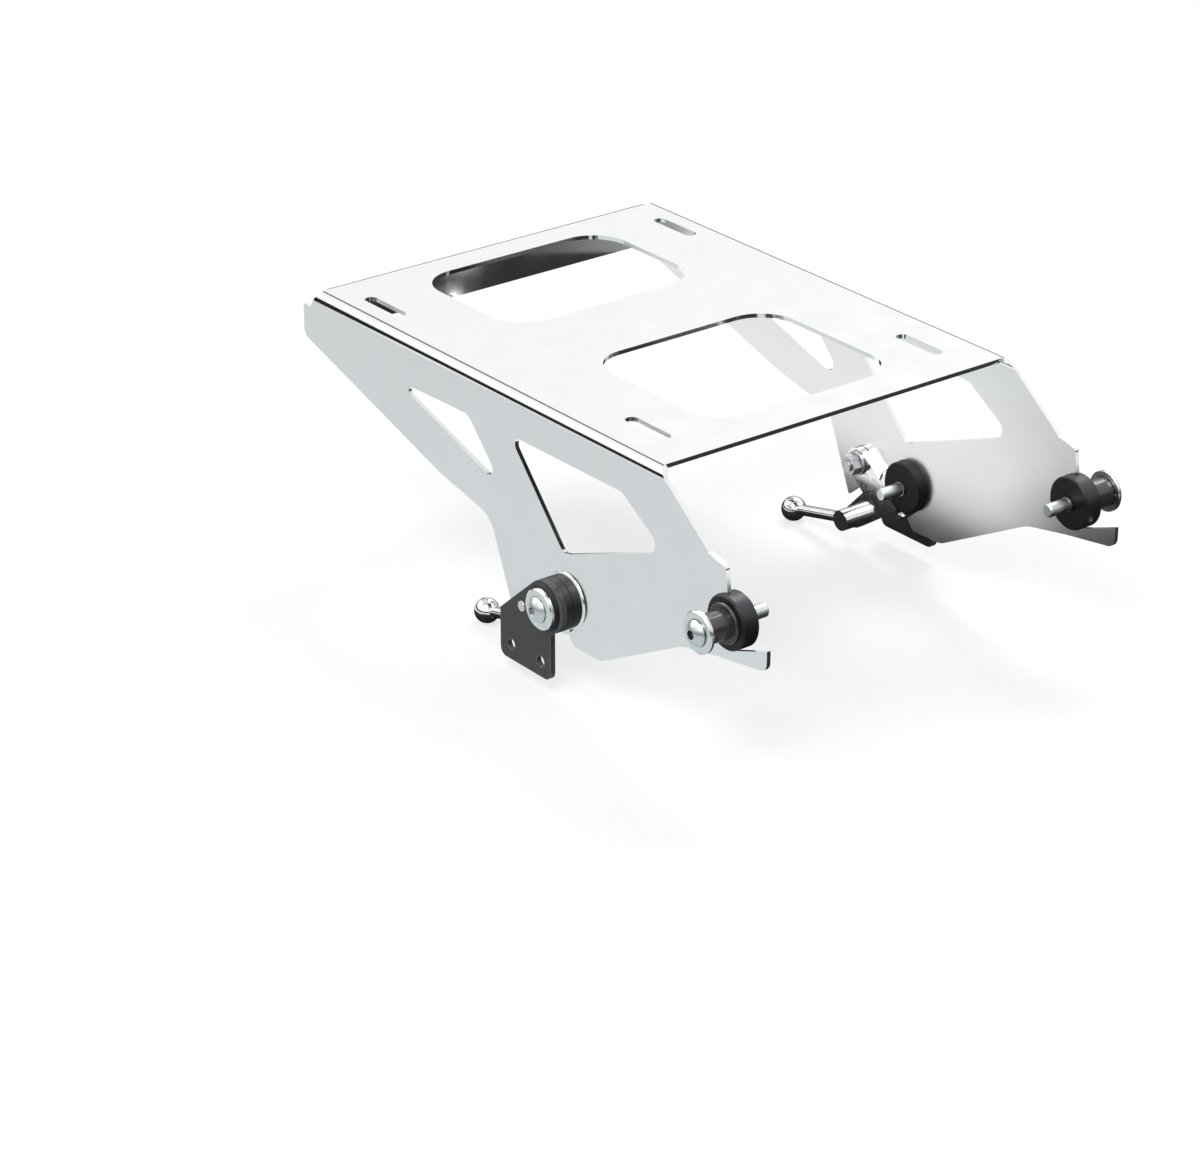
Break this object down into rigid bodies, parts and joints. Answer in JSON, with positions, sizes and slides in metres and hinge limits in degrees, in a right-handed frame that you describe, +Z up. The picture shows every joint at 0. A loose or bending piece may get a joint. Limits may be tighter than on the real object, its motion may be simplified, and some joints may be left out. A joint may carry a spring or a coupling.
{
  "type": "top box mount",
  "caption": "Folded chrome luggage rack for a motorcycle, with slotted top face, hooked side plates, rubber docking points and swinging latches.",
  "frame": {"origin": "centre of the top face, midway between the front and rear slots", "axes": "+X to the front of the motorcycle, +Y to its left, +Z up, out of the top face"},
  "size_m": [0.5029, 0.3612, 0.1886],
  "materials": {
    "rack_chrome": "bright polished chrome",
    "latch_chrome": "polished chrome",
    "chrome_trim": "polished chrome",
    "zinc": "bright zinc plate",
    "zinc_bolt": "bright zinc plate",
    "pin_zinc": "satin",
    "steel": "zinc plate",
    "rubber": "moulded, satin",
    "rubber_dark": "moulded, satin",
    "dark_sleeve": "black oxide",
    "black_paint": "satin black"
  },
  "bodies": {
    "root": {"rack_plate": "rack_chrome", "right_front_bushing": "rubber", "right_front_sleeve": "dark_sleeve", "right_front_washer": "zinc", "right_front_bolt": "zinc_bolt", "right_rear_hub": "rubber", "right_rear_ring": "chrome_trim", "right_rear_inner_bushing": "rubber", "right_rear_outer_bushing": "rubber", "right_rear_bracket": "black_paint", "right_bracket_pin": "pin_zinc", "right_rear_cup": "rubber_dark", "right_rear_washer": "zinc", "right_rear_bolt": "zinc_bolt", "right_latch_stud": "steel", "right_latch_washer": "steel", "right_latch_nut": "steel", "left_front_bushing": "rubber", "left_front_sleeve": "dark_sleeve", "left_front_washer": "zinc", "left_front_bolt": "zinc_bolt", "left_rear_hub": "rubber", "left_rear_ring": "chrome_trim", "left_rear_inner_bushing": "rubber", "left_rear_outer_bushing": "rubber", "left_rear_bracket": "black_paint", "left_bracket_pin": "pin_zinc", "left_rear_cup": "rubber_dark", "left_rear_washer": "zinc", "left_rear_bolt": "zinc_bolt", "left_latch_stud": "steel", "left_latch_washer": "steel", "left_latch_nut": "steel"},
    "right_latch": {"right_latch_hook": "latch_chrome", "right_latch_knob": "chrome_trim"},
    "left_latch": {"left_latch_hook": "latch_chrome", "left_latch_knob": "chrome_trim"}
  },
  "joints": [
    {"name": "right_latch_pivot", "type": "hinge", "parent": "root", "child": "right_latch", "pos_m": [0.05, -0.1441, -0.124], "axis": [0, 1, 0], "range_deg": [0, 95]},
    {"name": "left_latch_pivot", "type": "hinge", "parent": "root", "child": "left_latch", "pos_m": [0.05, 0.1441, -0.124], "axis": [0, 1, 0], "range_deg": [0, 95]}
  ]
}
